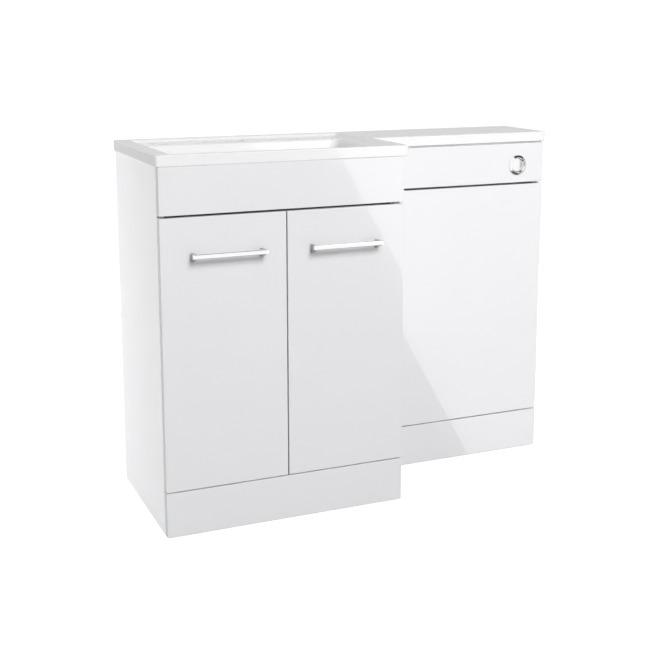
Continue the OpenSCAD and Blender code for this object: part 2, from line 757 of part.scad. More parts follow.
module unit_bolts() color("silver") for (z = join_zs) {
  rod_x(join_y, z, join_r - snug, van_in_r - join_head, wc_in_l + join_head);
  rod_x(join_y, z, 2 * join_r, van_in_r - join_head, van_in_r);
  rod_x(join_y, z, 2 * join_r, wc_in_l, wc_in_l + join_head);
}

module glides() color("dimgray")
  for (p = [[van_l, van_y], [van_in_r, van_y], [wc_l, wc_y], [wc_in_r, wc_y]])
    for (y = [p.y + glide_l / 2, back_y - glide_l / 2]) translate([p.x + board / 2, y, 0]) {
      block([-glide_w / 2, -glide_l / 2 + 1, 0], [glide_w / 2, glide_l / 2 - 1, glide_h]);
      cylinder(r = nail_r - snug, h = glide_h + 11);
    }

// ---- Flush button ----

module at_button() translate([button_x, wc_front_y, button_z]) rotate([-90, 0, 0]) children();

// Section of the bezel and its threaded sleeve: radius, then depth from the fascia's face
function bezel_section() = let (m = (bezel_r + sleeve_in) / 2, w = (bezel_r - sleeve_in) / 2)
  concat([for (a = [0 : 15 : 180]) [m + w * cos(a), -bezel_out * sin(a) * 0.9 - bezel_out * 0.1]],
    [[sleeve_in, sleeve_l], [sleeve_r, sleeve_l], [sleeve_r, 0], [bezel_r, 0]]);

module button_bezel() color("gainsboro") at_button() rotate_extrude($fn = 96) polygon(bezel_section());

// The cap's crowned face stands just inside the bezel
module button_cap() color("gainsboro") at_button() {
  crown = 2.5;
  face = -bezel_out + 3;
  big = (cap_r * cap_r + crown * crown) / (2 * crown);
  intersection() {
    translate([0, 0, face]) cylinder(r = cap_r, h = cap_l, $fn = 96);
    translate([0, 0, face + big]) sphere(r = big, $fn = 192);
  }
  translate([0, 0, face + cap_l - 1]) cylinder(r = cap_stem_r, h = sleeve_l - face - cap_l - 1);
}

module button_nut() color("white") at_button() translate([0, 0, front_t]) difference() {
  union() {
    cylinder(r = nut_r, h = nut_h);
    for (a = [0 : 45 : 315]) rotate([0, 0, a]) translate([nut_r - 1, -2, 0]) cube([3, 4, nut_h]);
  }
  translate([0, 0, -1]) cylinder(r = sleeve_r + snug, h = nut_h + 2);
}

// Air chamber on the end of the sleeve: the cap's stem pushes air from it into the hose
module air_chamber() color("white") at_button() difference() {
  union() {
    translate([0, 0, sleeve_l]) cylinder(r = sleeve_r, h = chamber_l - spigot_l);
    translate([0, 0, sleeve_l + chamber_l - spigot_l - 1])
      cylinder(r = spigot_r, h = 2 * spigot_l + 1);
  }
  translate([0, 0, sleeve_l - 1]) cylinder(r = cap_stem_r + slip, h = cap_travel + 6);
  translate([0, 0, sleeve_l]) cylinder(r = 1, h = chamber_l + spigot_l + 1);
}

// ---- Air hose: a tube swept along its route ----

function spline(p, q, r, s, t) = 0.5 * (2 * q + (r - p) * t + (2 * p - 5 * q + 4 * r - s) * t * t
  + (3 * q - p - 3 * r + s) * t * t * t);
function smooth(p, n) = let (m = len(p) - 1) concat([for (i = [0 : m - 1], k = [0 : n - 1])
  spline(p[max(i - 1, 0)], p[i], p[i + 1], p[min(i + 2, m)], k / n)], [p[m]]);
function heading(p, i) = unit(p[min(i + 1, len(p) - 1)] - p[max(i - 1, 0)]);
// A ring round point i, held level by the upright so that it doesn't twist
function ring(p, i, r, sides) = let (d = heading(p, i), ref = abs(d.z) > 0.9 ? [0, 1, 0] : [0, 0, 1],
    u = unit(cross(ref, d)), w = cross(d, u))
  [for (k = [0 : sides - 1]) p[i] + r * (u * cos(360 * k / sides) + w * sin(360 * k / sides))];

module air_hose() color("lightgray") {
  sides = 8;
  path = smooth(hose_route, 2);
  n = len(path);
  points = [for (i = [0 : n - 1]) each ring(path, i, hose_r, sides)];
  walls = [for (i = [0 : n - 2], k = [0 : sides - 1], h = [0, 1]) let (a = i * sides + k,
    b = i * sides + (k + 1) % sides) h == 0 ? [a, b, b + sides] : [a, b + sides, a + sides]];
  caps = [[for (k = [sides - 1 : -1 : 0]) k], [for (k = [0 : sides - 1]) (n - 1) * sides + k]];
  difference() {
    polyhedron(points, concat(walls, caps));
    rod_y(hose_start.x, hose_start.z, hose_bore_r, hose_start.y - 1, hose_start.y + spigot_l + snug);
    translate(hose_end - [0, 0, 1]) cylinder(r = hose_bore_r, h = spigot_l + 1 + snug);
  }
}

// ---- Cistern ----

module tank_outline(grow) {
  r = tank_r + grow;
  x = [wc_mid - tank_w / 2 - grow, wc_mid + tank_w / 2 + grow];
  y = [tank_front - grow, tank_back + grow];
  polygon(rounded([[x[0], y[0]], [x[1], y[0]], [x[1], y[1]], [x[0], y[1]]], r));
}

module cistern_tank() color("white") difference() {
  union() {
    translate([0, 0, tank_z]) linear_extrude(tank_h) tank_outline(0);
    block([wc_mid - tank_w / 2 - ear_w, tank_back - ear_t, ear_z - ear_h / 2],
      [wc_mid + tank_w / 2 + ear_w, tank_back, ear_z + ear_h / 2]);
  }
  translate([0, 0, seat_z]) linear_extrude(tank_h) tank_outline(-tank_t);
  translate([wc_mid, tank_mid_y, tank_z - 1]) cylinder(r = tail_r + 0.5, h = tank_t + 2);
  translate([fill_x, tank_mid_y, tank_z - 1]) cylinder(r = fill_tail_r + 0.5, h = tank_t + 2);
  for (x = ear_xs) rod_y(x, ear_z, ear_screw_r + 0.3, tank_back - ear_t - 1, tank_back + 1);
}

module cistern_lid() color("white") difference() {
  translate([0, 0, tank_top - lid_skirt]) linear_extrude(lid_skirt + lid_t) tank_outline(lid_gap + 2);
  translate([0, 0, tank_top - lid_skirt - 1]) linear_extrude(lid_skirt + 1) tank_outline(lid_gap);
  translate([0, 0, tank_top - lid_skirt - 1]) block([wc_mid - tank_w, tank_back, 0],
    [wc_mid + tank_w, tank_back + 10, lid_skirt + lid_t + 2]);
  translate([wc_mid, tank_mid_y, tank_top - 1]) cylinder(r = hose_r + 2, h = lid_t + 2);
}

module cistern_screws() color("silver") for (x = ear_xs) {
  rod_y(x, ear_z, ear_screw_r - snug, tank_back - ear_t, tank_back + 12);
  rod_y(x, ear_z, 2 * ear_screw_r, tank_back - ear_t - 3, tank_back - ear_t);
}

module flush_valve() color("white") translate([wc_mid, tank_mid_y, 0]) difference() {
  union() {
    translate([0, 0, tank_z - tail_l]) cylinder(r = tail_r, h = tail_l + tank_t + 1);
    translate([0, 0, seat_z]) cylinder(r = flange_r, h = flange_h);
    for (a = [45 : 90 : 315]) rotate([0, 0, a]) translate([cage_r, -3, seat_z])
      cube([flange_r - cage_r - 0.5, 6, cage_h]);
    translate([0, 0, seat_z + cage_h - cage_ring_h]) cylinder(r = flange_r, h = cage_ring_h);
    translate([0, 0, seat_z + cage_h - 1]) cylinder(r = spigot_r + 4, h = cage_ring_h + 1);
    translate([0, 0, seat_z + cage_h]) cylinder(r = spigot_r, h = cage_ring_h + spigot_l);
  }
  translate([0, 0, tank_z - tail_l - 1]) cylinder(r = tail_in, h = tail_l + tank_t + flange_h + 3);
  translate([0, 0, seat_z + cage_h - cage_ring_h - 1]) cylinder(r = tube_r + 10, h = cage_ring_h - 1);
  translate([0, 0, seat_z + cage_h - 3]) cylinder(r = 1, h = cage_ring_h + spigot_l + 4);
}

// The seal rests on the valve's seat and lifts with its overflow tube
module flush_seal() color("crimson") translate([wc_mid, tank_mid_y, seal_z]) difference() {
  union() {
    cylinder(r = seal_r, h = seal_h);
    cylinder(r = tube_r, h = tube_h);
    translate([0, 0, 40]) cylinder(r = seal_r - 4, h = 30);
  }
  translate([0, 0, -1]) cylinder(r = tube_r - 2, h = tube_h + 2);
}

module outlet_nut() color("white") translate([wc_mid, tank_mid_y, tank_z - 12]) difference() {
  cylinder(r = tail_r + 9, h = 12);
  translate([0, 0, -1]) cylinder(r = tail_r + snug, h = 14);
}

// Flush pipe: down from the valve, round a bend, and forward to the pan
module flush_pipe() color("white") {
  bend_z = pipe_z + elbow_r;
  end_y = wc_front_y + front_t + pipe_end_gap;
  turn_y = tank_mid_y - elbow_r;
  difference() {
    union() {
      translate([wc_mid, tank_mid_y, bend_z]) cylinder(r = pipe_r, h = tank_z - tail_l / 2 - bend_z);
      translate([wc_mid, turn_y, bend_z]) rotate([0, 90, 0]) rotate_extrude(angle = 90)
        translate([elbow_r, 0]) circle(r = pipe_r);
      rod_y(wc_mid, pipe_z, pipe_r, end_y, turn_y);
    }
    translate([wc_mid, tank_mid_y, bend_z]) cylinder(r = pipe_r - pipe_t, h = tank_z);
    translate([wc_mid, turn_y, bend_z]) rotate([0, 90, 0]) rotate_extrude(angle = 90)
      translate([elbow_r, 0]) circle(r = pipe_r - pipe_t);
    rod_y(wc_mid, pipe_z, pipe_r - pipe_t, end_y - 1, turn_y);
  }
}

module fill_valve() color("white") translate([fill_x, tank_mid_y, 0]) difference() {
  union() {
    translate([0, 0, tank_z - fill_tail_l]) cylinder(r = fill_tail_r, h = fill_tail_l + tank_t + 1);
    translate([0, 0, tank_z - fill_tail_l - inlet_l]) cylinder(r = inlet_r, h = inlet_l + 1);
    translate([0, 0, seat_z]) cylinder(r = fill_flange_r, h = flange_h);
    translate([0, 0, seat_z]) cylinder(r = fill_r, h = fill_h);
    translate([0, 0, float_z - flange_h]) cylinder(r = float_stop_r, h = flange_h);
    translate([0, 0, seat_z + fill_h - fill_head_h]) cylinder(r = fill_head_r, h = fill_head_h);
  }
  translate([0, 0, tank_z - fill_tail_l - inlet_l - 1])
    cylinder(r = inlet_r - inlet_wall, h = fill_tail_l + inlet_l + (fill_h - fill_head_h) / 2);
}

module fill_float() color("steelblue") translate([fill_x, tank_mid_y, float_z]) difference() {
  cylinder(r = float_r, h = float_h);
  translate([0, 0, -1]) cylinder(r = fill_r + slip, h = float_h + 2);
}

module fill_nut() color("white") translate([fill_x, tank_mid_y, tank_z - fill_nut_h]) difference() {
  cylinder(r = fill_head_r, h = fill_nut_h, $fn = 6);
  translate([0, 0, -1]) cylinder(r = fill_tail_r + snug, h = fill_nut_h + 2);
}

basin_top();
vanity_side_left();
vanity_side_right();
vanity_base();
vanity_front_rail();
vanity_upper_rail();
vanity_lower_rail();
vanity_fascia();
vanity_plinth();
shelf();
shelf_pins();
cams(van_bores);  // vanity_cams
on_left() door();  // door_left
on_right() door();  // door_right
on_left() handle();  // handle_left
on_right() handle();  // handle_right
on_left() handle_screws();  // handle_screws_left
on_right() handle_screws();  // handle_screws_right
hinge_plates();
hinge_arms();
arm_pins();
on_left() hinge_link();  // hinge_link_left
on_right() hinge_link();  // hinge_link_right
on_left() hinge_cups();  // hinge_cups_left
on_right() hinge_cups();  // hinge_cups_right
on_left() cup_pins();  // cup_pins_left
on_right() cup_pins();  // cup_pins_right
wc_side_left();
wc_side_right();
wc_front_rail();
wc_bottom_rail();
wc_upper_rail();
wc_middle_rail();
wc_fascia();
wc_panel();
wc_plinth();
cams(wc_bores);  // wc_cams
glue_blocks();
clip_studs();
clip_sockets();
unit_bolts();
glides();
button_bezel();
button_cap();
button_nut();
air_chamber();
air_hose();
cistern_tank();
cistern_lid();
cistern_screws();
flush_valve();
flush_seal();
outlet_nut();
flush_pipe();
fill_valve();
fill_float();
fill_nut();
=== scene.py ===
import json
import math
import bmesh
import bpy
import numpy as np
from mathutils import Matrix, Vector


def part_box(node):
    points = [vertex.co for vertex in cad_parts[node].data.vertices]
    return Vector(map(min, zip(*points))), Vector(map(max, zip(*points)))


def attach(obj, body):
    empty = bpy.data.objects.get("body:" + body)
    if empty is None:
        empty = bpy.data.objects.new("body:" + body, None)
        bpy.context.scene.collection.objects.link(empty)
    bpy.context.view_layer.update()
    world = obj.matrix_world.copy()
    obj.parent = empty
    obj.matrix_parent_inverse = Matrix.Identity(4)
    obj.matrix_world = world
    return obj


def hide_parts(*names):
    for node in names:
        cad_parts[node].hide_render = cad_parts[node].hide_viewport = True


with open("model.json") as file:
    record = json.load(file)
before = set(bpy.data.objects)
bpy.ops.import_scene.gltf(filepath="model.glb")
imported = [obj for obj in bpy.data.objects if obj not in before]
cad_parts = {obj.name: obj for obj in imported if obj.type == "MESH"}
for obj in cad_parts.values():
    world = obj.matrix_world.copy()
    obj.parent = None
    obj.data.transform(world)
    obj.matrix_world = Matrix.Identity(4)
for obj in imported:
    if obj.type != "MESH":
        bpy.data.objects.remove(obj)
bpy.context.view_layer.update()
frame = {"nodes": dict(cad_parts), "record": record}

nodes = frame["nodes"]
MM = 0.001


# ---- Camera: the photograph's view ----

CAMERA_AT = (-1.1782, -2.6154, 1.1265)
YAW, PITCH, ROLL = math.radians(23.062), math.radians(10.332), math.radians(-0.061)
LENS, SENSOR = 63.29, 36.0                  # mm
SHIFT_Y = -0.13                             # share of the sensor's width
CLIP_END = 50


def make_camera():
    ahead = Vector((math.sin(YAW) * math.cos(PITCH), math.cos(YAW) * math.cos(PITCH),
                    -math.sin(PITCH)))
    level = Vector((math.cos(YAW), -math.sin(YAW), 0))
    upright = level.cross(ahead)
    right = level * math.cos(ROLL) + upright * math.sin(ROLL)
    up = upright * math.cos(ROLL) - level * math.sin(ROLL)
    data = bpy.data.cameras.new("camera")
    data.lens, data.sensor_width, data.sensor_fit = LENS, SENSOR, "HORIZONTAL"
    data.shift_y = SHIFT_Y
    data.clip_end = CLIP_END
    cam = bpy.data.objects.new("camera", data)
    bpy.context.collection.objects.link(cam)
    cam.matrix_world = Matrix([(right[k], up[k], -ahead[k], CAMERA_AT[k]) for k in range(3)]
                              + [(0, 0, 0, 1)])
    bpy.context.scene.camera = cam


make_camera()


# ---- Materials ----

MIDDLE = (0.3, 0.7)                         # most of a noise's values lie between these


def new_material(name):
    mat = bpy.data.materials.new(name)
    mat.use_nodes = True
    return mat, mat.node_tree, mat.node_tree.nodes["Principled BSDF"]


def coords(tree, stretch):
    tc = tree.nodes.new("ShaderNodeTexCoord")
    mp = tree.nodes.new("ShaderNodeMapping")
    mp.inputs["Scale"].default_value = stretch
    tree.links.new(tc.outputs["Object"], mp.inputs["Vector"])
    return mp.outputs["Vector"]


def noise(tree, vec, scale, detail):
    n = tree.nodes.new("ShaderNodeTexNoise")
    n.inputs["Scale"].default_value = scale
    n.inputs["Detail"].default_value = detail
    tree.links.new(vec, n.inputs["Vector"])
    return n.outputs["Fac"]


def ramp(tree, value, a, b, lo, hi, kind="LINEAR"):
    """Maps a value from a..b to lo..hi."""
    m = tree.nodes.new("ShaderNodeMapRange")
    m.interpolation_type = kind
    for k, v in zip(("From Min", "From Max", "To Min", "To Max"), (a, b, lo, hi)):
        m.inputs[k].default_value = v
    tree.links.new(value, m.inputs["Value"])
    return m.outputs["Result"]


def tint(tree, fac, colours):
    c = tree.nodes.new("ShaderNodeValToRGB")
    for stop, position, colour in zip(c.color_ramp.elements, MIDDLE, colours):
        stop.position, stop.color = position, (*colour, 1)
    tree.links.new(fac, c.inputs["Fac"])
    return c.outputs["Color"]


def bump(tree, bsdf, height, distance, coat):
    b = tree.nodes.new("ShaderNodeBump")
    b.inputs["Strength"].default_value = 1.0
    b.inputs["Distance"].default_value = distance
    tree.links.new(height, b.inputs["Height"])
    tree.links.new(b.outputs["Normal"], bsdf.inputs["Normal"])
    if coat:
        tree.links.new(b.outputs["Normal"], bsdf.inputs["Coat Normal"])


def finish_material(name, colours, colour_scale, rough, rough_scale, relief, relief_scale,
                    stretch=(1, 1, 1), sockets=None):
    """A Principled material whose colour, roughness and relief each come from their own noise.

    colours and rough are each from, to; relief is in metres; sockets are set to plain numbers."""
    sockets = sockets or {}
    mat, tree, bsdf = new_material(name)
    vec = coords(tree, stretch)
    colour = tint(tree, noise(tree, vec, colour_scale, 3), colours)
    tree.links.new(colour, bsdf.inputs["Base Color"])
    shine = ramp(tree, noise(tree, vec, rough_scale, 3), *MIDDLE, *rough)
    tree.links.new(shine, bsdf.inputs["Roughness"])
    bump(tree, bsdf, noise(tree, vec, relief_scale, 2), relief, coat="Coat Weight" in sockets)
    for k, v in sockets.items():
        bsdf.inputs[k].default_value = v
    return mat


CLEAR_COAT = {"Specular IOR Level": 0.25, "Coat Weight": 0.5, "Coat IOR": 1.5}
METAL = {"Metallic": 1.0}

# Sprayed and polished fronts, under a clear coat
gloss = finish_material("gloss_fronts", ((0.777, 0.779, 0.792), (0.786, 0.788, 0.801)), 6.0,
                        (0.12, 0.16), 9.0, 0.0000035, 140.0,
                        sockets={**CLEAR_COAT, "Coat Roughness": 0.007})
# Cast worktop with a gel coat
cast = finish_material("cast_top", ((0.836, 0.837, 0.846), (0.842, 0.843, 0.852)), 5.0,
                       (0.20, 0.24), 14.0, 0.0000020, 60.0,
                       sockets={**CLEAR_COAT, "Coat Roughness": 0.012})
# Melamine-faced boards with a fine pearl texture
board = finish_material("carcass_boards", ((0.925, 0.926, 0.938), (0.935, 0.936, 0.948)), 8.0,
                        (0.36, 0.48), 30.0, 0.00003, 900.0,
                        sockets={"Specular IOR Level": 0.45})
# Handle bars and the flush button
chrome = finish_material("chrome_fittings", ((0.95, 0.953, 0.96), (0.97, 0.973, 0.98)), 12.0,
                         (0.035, 0.07), 40.0, 0.0000015, 60.0, sockets=METAL)
# Handle feet
satin = finish_material("satin_feet", ((0.29, 0.295, 0.305), (0.35, 0.355, 0.365)), 40.0,
                        (0.16, 0.24), 90.0, 0.000004, 400.0, sockets=METAL)
# Hinges, screws, bolts, pins and cams, with a drawn grain
steel = finish_material("steel_fittings", ((0.50, 0.505, 0.52), (0.60, 0.605, 0.62)), 60.0,
                        (0.24, 0.36), 220.0, 0.00002, 700.0, stretch=(1, 1, 6), sockets=METAL)
plastic = finish_material("white_plastic", ((0.80, 0.80, 0.80), (0.84, 0.84, 0.835)), 15.0,
                          (0.34, 0.46), 50.0, 0.00002, 500.0)
grey = finish_material("grey_plastic", ((0.10, 0.10, 0.105), (0.14, 0.14, 0.145)), 60.0,
                       (0.45, 0.6), 90.0, 0.00003, 900.0)
hose_mat = finish_material("clear_hose", ((0.80, 0.84, 0.86), (0.88, 0.92, 0.93)), 60.0,
                           (0.12, 0.2), 90.0, 0.00001, 300.0,
                           sockets={"Transmission Weight": 0.85, "IOR": 1.42})
rubber = finish_material("seal_rubber", ((0.34, 0.035, 0.03), (0.44, 0.05, 0.045)), 80.0,
                         (0.5, 0.66), 140.0, 0.00004, 900.0)
float_mat = finish_material("float_plastic", ((0.05, 0.16, 0.36), (0.07, 0.20, 0.42)), 40.0,
                            (0.3, 0.42), 80.0, 0.00002, 500.0)

# Painted shade: the rails' front faces, seen through the seams between the fronts, are coloured
# dark where only shade falls
SEAM_SHADE_COLOUR = (0.035, 0.035, 0.038, 1)
SEAM_SHADE_FACES = (-0.92, -0.98)                # a normal's Y on a front edge


def rails_with_painted_seam_shade():
    """Board with painted shade on its front faces: they are coloured dark, so that the seams
    between the fronts in front of these rails look shadowed.
    """
    mat = board.copy()
    mat.name = "rails_painted_seam_shade"
    tree = mat.node_tree
    bsdf = tree.nodes["Principled BSDF"]
    colour = bsdf.inputs["Base Color"].links[0].from_socket
    tc = tree.nodes.new("ShaderNodeTexCoord")
    sep = tree.nodes.new("ShaderNodeSeparateXYZ")
    tree.links.new(tc.outputs["Normal"], sep.inputs[0])
    mix = tree.nodes.new("ShaderNodeMix")
    mix.data_type = "RGBA"
    tree.links.new(ramp(tree, sep.outputs["Y"], *SEAM_SHADE_FACES, 0.0, 1.0), mix.inputs["Factor"])
    tree.links.new(colour, mix.inputs["A"])
    mix.inputs["B"].default_value = SEAM_SHADE_COLOUR
    tree.links.new(mix.outputs["Result"], bsdf.inputs["Base Color"])
    return mat


SLOTS = {"cast_top": cast, "gloss_fronts": gloss, "carcass_boards": board,
         "chrome_fittings": chrome, "steel_fittings": steel, "white_plastic": plastic,
         "grey_plastic": grey, "clear_hose": hose_mat, "seal_rubber": rubber,
         "float_plastic": float_mat}
for entry in frame["record"]["subparts"]:
    data = nodes[entry["node"]].data
    data.materials.clear()
    data.materials.append(SLOTS[entry["material_slot"]])
# The rails behind the seams take the board with the painted seam shade
seam_shaded_rails = rails_with_painted_seam_shade()
for name in ("vanity_front_rail", "wc_front_rail"):
    nodes[name].data.materials[0] = seam_shaded_rails


# ---- Building pieces ----

def as_mesh(name, bm):
    """Turns a bmesh into a mesh and frees it."""
    mesh = bpy.data.meshes.new(name)
    bm.to_mesh(mesh)
    bm.free()
    return mesh


def as_object(name, mesh, *mats):
    for mat in mats:
        mesh.materials.append(mat)
    obj = bpy.data.objects.new(name, mesh)
    bpy.context.collection.objects.link(obj)
    return obj


def place(obj, slot, body, *replaced):
    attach(obj, body)
    if replaced:
        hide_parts(*replaced)


def weighted(obj):
    m = obj.modifiers.new("normals", "WEIGHTED_NORMAL")
    m.keep_sharp = True
    m.weight = 100


def mark_smooth(mesh, angle=32):
    """Shades a mesh smooth, apart from its edges over an angle in degrees."""
    bm = bmesh.new()
    bm.from_mesh(mesh)
    for f in bm.faces:
        f.smooth = True
    for e in bm.edges:
        if len(e.link_faces) == 2 and e.calc_face_angle(0) > math.radians(angle):
            e.smooth = False
    bm.to_mesh(mesh)
    bm.free()


def add_face(faces, ids):
    """Adds a face without its repeated corners, where three or more are left."""
    ids = [v for k, v in enumerate(ids) if v != ids[k - 1]]
    if len(ids) > 2:
        faces.append(tuple(ids))


def eased_box(name, lo, hi, ease, segments, mat):
    """A box between two corners, with its edges rounded."""
    bm = bmesh.new()
    bmesh.ops.create_cube(bm, size=1)
    for v in bm.verts:
        v.co = Vector([(a + b) / 2 + c * (b - a) for a, b, c in zip(lo, hi, v.co)])
    bmesh.ops.bevel(bm, geom=list(bm.edges), offset=ease, segments=segments, profile=0.5,
                    affect="EDGES")
    return as_object(name, as_mesh(name, bm), mat)


def arc(a0, a1, n):
    """Angles in radians, in n equal steps between two angles in degrees."""
    return [math.radians(a0 + (a1 - a0) * i / n) for i in range(n + 1)]


# ---- Worktop, in mm ----

LX, RX, SX = -553.0, 553.0, 49.0            # left, right and step edges
FY, WY, BY = -186.5, 14.5, 216.5            # front, toilet part's front, back
CR = 4.0                                    # radius of the upright corners
CORNER_STEPS = 8
TOP, LEDGE, UNDER = 870.0, 862.0, 845.0     # heights of the deck, the sunken ledge, the underside
EDGE_TOP_R, EDGE_LOW_R = 1.4, 1.2           # radii of the outer edge, above and below

# The bowl: left, right, front and back
BOWL_L, BOWL_R, BOWL_F, BOWL_B = -516.0, 2.0, -167.0, 126.5     # its walls at the deck's level
LIP_L, LIP_R, LIP_F, LIP_B = 2.0, 27.0, 1.2, 5.0                # radii of their lips
LEAN_L, LEAN_R, LEAN_F, LEAN_B = 16.0, 40.0, 14.0, 18.0         # how far they lean in lower down
SHOULDER_IN, SHOULDER_Z = 9.0, 843.0        # foot of the walls' upper part
SLOPE = SHOULDER_IN / (TOP - SHOULDER_Z)    # run over rise of that part
ROUND_R, ROUND_Z = 24.0, 792.0              # round bottom edge: its radius, its centre's height
FLOOR_Z = 768.0
PLAN_R_LEFT, PLAN_R_RIGHT = 5.0, 18.0       # radii of the corners in plan, at the rim
PLAN_SPLIT_X = -260.0                       # between the left corners and the right ones

# The hollow underneath, which follows the bowl's walls
SLAB_F = -167.5                             # its front, and the ledge's
UNDER_SHOULDER_IN, UNDER_ROUND_R, UNDER_FLOOR_Z = 1.0, 32.0, 760.0
UNDER_PLAN_R = 13.0

# The sunken ledge
LEDGE_B = 197.5                             # its back
RISE_X, RISE_L = 19.0, 22.0                 # where it begins to rise to the deck, and over how far
FILLET_R, CONVEX_R = 3.0, 2.5               # foot and head of its walls
LEDGE_R = 6.0                               # its corners in plan

# The holes, and the fall of the bowl's floor towards the waste
TAP, TAP_R = (-252.0, 162.0), 17.5
WASTE, WASTE_R = (-252.0, -20.5), 22.5
FALL, FALL_FROM, FALL_OVER = 0.010, 34.0, 170.0     # rise over run, start and length of the run
FALL_OVAL = 1.4                             # its shape in plan
FALL_LEVEL, FALL_FADE = 790.0, 22.0         # height at which it has faded out, and over how much

# Sections of the holes as radius and height, from the top layer down to the lower one
TAP_SECTION = [(TAP_R + 3.0, LEDGE), (TAP_R + 1.5, LEDGE), (TAP_R + 0.85, 861.8),
               (TAP_R + 0.3, 861.4), (TAP_R, 860.6), (TAP_R, 859.5), (TAP_R, 846.0),
               (TAP_R, UNDER), (TAP_R + 1.0, UNDER), (TAP_R + 4.0, UNDER)]
WASTE_SECTION = [(33.4, FLOOR_Z), (32.4, FLOOR_Z), (31.9, 767.8), (31.4, 767.4), (28.8, 766.3),
                 (28.0, 766.0), (24.0, 766.0), (23.2, 765.8), (WASTE_R, 765.1), (WASTE_R, 764.0),
                 (WASTE_R, 754.6), (WASTE_R + 0.6, 754.0), (33.7, 754.0), (34.5, 754.8),
                 (34.5, 759.0), (34.8, UNDER_FLOOR_Z), (35.2, UNDER_FLOOR_Z)]
TAP_PATCH, WASTE_PATCH = 26.0, 36.0         # half the square that each hole's rings fill


def wall(z, lean, shoulder_in, shoulder_z, r):
    """How far in a bowl wall lies at height z: a straight upper part, then a tangent line into the
    round bottom edge of radius r, whose centre lies ROUND_R further in than the wall leans."""
    cx, cz = lean + ROUND_R, ROUND_Z
    vx, vz = shoulder_in - cx, shoulder_z - cz
    angle = math.atan2(vz, vx) + math.acos(min(1, r / math.hypot(vx, vz)))
    tx, tz = cx + r * math.cos(angle), cz + r * math.sin(angle)
    low = cx - np.sqrt(np.clip(r * r - (cz - z) ** 2, 0, None))
    mid = shoulder_in + (shoulder_z - z) * (tx - shoulder_in) / (shoulder_z - tz)
    up = shoulder_in * (TOP - z) / (TOP - shoulder_z)
    return np.where(z >= shoulder_z, up, np.where(z >= tz, mid, low))


def lip_reach(r):
    """From the crossing of an upper wall and a level above it to where a lip of radius r begins."""
    return r / math.tan((math.pi / 2 + math.atan(SLOPE)) / 2)


def lip_out(z, level, r):
    """How far out the round lip between an upper wall and a level stands from the wall's line."""
    d = np.clip(z - (level - r), 0, r)
    return lip_reach(r) - np.sqrt(np.clip(r * r - d * d, 0, None))


def bowl_sides(z, x):
    """The bowl's left, right, front and back at height z, and its corners' radius near x."""
    def side(lean, level, r):
        foot = level - lip_reach(r) * math.cos(math.atan(SLOPE))
        lip = SLOPE * (TOP - level) - lip_out(z, level, r)
        return np.where(z > foot, lip, wall(z, lean, SHOULDER_IN, SHOULDER_Z, ROUND_R))
    at_top = np.where(x > PLAN_SPLIT_X, PLAN_R_RIGHT, PLAN_R_LEFT)
    share = np.clip((SHOULDER_Z - z) / (SHOULDER_Z - ROUND_Z), 0, 1)
    return (BOWL_L + side(LEAN_L, TOP, LIP_L), BOWL_R - side(LEAN_R, LEDGE, LIP_R),
            BOWL_F + side(LEAN_F, TOP, LIP_F), BOWL_B - side(LEAN_B, LEDGE, LIP_B),
            at_top + (ROUND_R - at_top) * share)


def ledge_sides(z, x):
    """The sunken ledge's left, right, front and back at height z, and its corners' radius."""
    deep = TOP - LEDGE
    up = np.clip(z - LEDGE, 0, deep)
    rest = FILLET_R - np.clip(up, 0, FILLET_R)
    fillet = FILLET_R - np.sqrt(np.clip(FILLET_R ** 2 - rest ** 2, 0, None))
    over = np.clip(up - (deep - CONVEX_R), 0, CONVEX_R)
    convex = CONVEX_R - np.sqrt(np.clip(CONVEX_R ** 2 - over ** 2, 0, None))
    inward = SLOPE * (deep - up) + fillet - convex
    # the right end rises in an S: this is the inverse of 3 t^2 - 2 t^3
    along = 0.5 - np.sin(np.arcsin(np.clip(1 - 2 * up / deep, -1, 1)) / 3.0)
    return (BOWL_L + inward, RISE_X + RISE_L * along, SLAB_F + inward,
            LEDGE_B - fillet + convex, LEDGE_R)


def under_sides(z, x):
    """The same of the hollow underneath, which follows the bowl's walls."""
    def side(lean):
        return wall(z, lean, UNDER_SHOULDER_IN, UNDER, UNDER_ROUND_R)
    share = np.clip((UNDER - z) / (UNDER - ROUND_Z), 0, 1)
    return (BOWL_L + side(LEAN_L), BOWL_R - side(LEAN_R), SLAB_F + side(LEAN_F),
            BOWL_B - side(LEAN_B), UNDER_PLAN_R + (UNDER_ROUND_R - UNDER_PLAN_R) * share)


def outside(x, y, left, right, front_y, back, radius):
    """Signed distance to a rounded rectangle, negative inside it."""
    dx = np.maximum(left + radius - x, x - (right - radius))
    dy = np.maximum(front_y + radius - y, y - (back - radius))
    inner = np.minimum(np.maximum(dx, dy), 0)
    return np.hypot(np.maximum(dx, 0), np.maximum(dy, 0)) + inner - radius


def solve(x, y, sides_at, lo, hi):
    """The lowest height from lo to hi at which each point is inside a hollow. Points that never are
    get a height far above."""
    tiny, far, halvings = 1e-6, 1e4, 34
    a = np.full(x.shape, lo)
    b = np.full(x.shape, hi)
    never = outside(x, y, *sides_at(b - tiny, x)) >= 0
    on_floor = outside(x, y, *sides_at(a + tiny, x)) < 0
    for _ in range(halvings):
        m = (a + b) / 2
        inside = outside(x, y, *sides_at(m, x)) < 0
        b = np.where(inside, m, b)
        a = np.where(inside, a, m)
    return np.where(never, far, np.where(on_floor, lo, b))


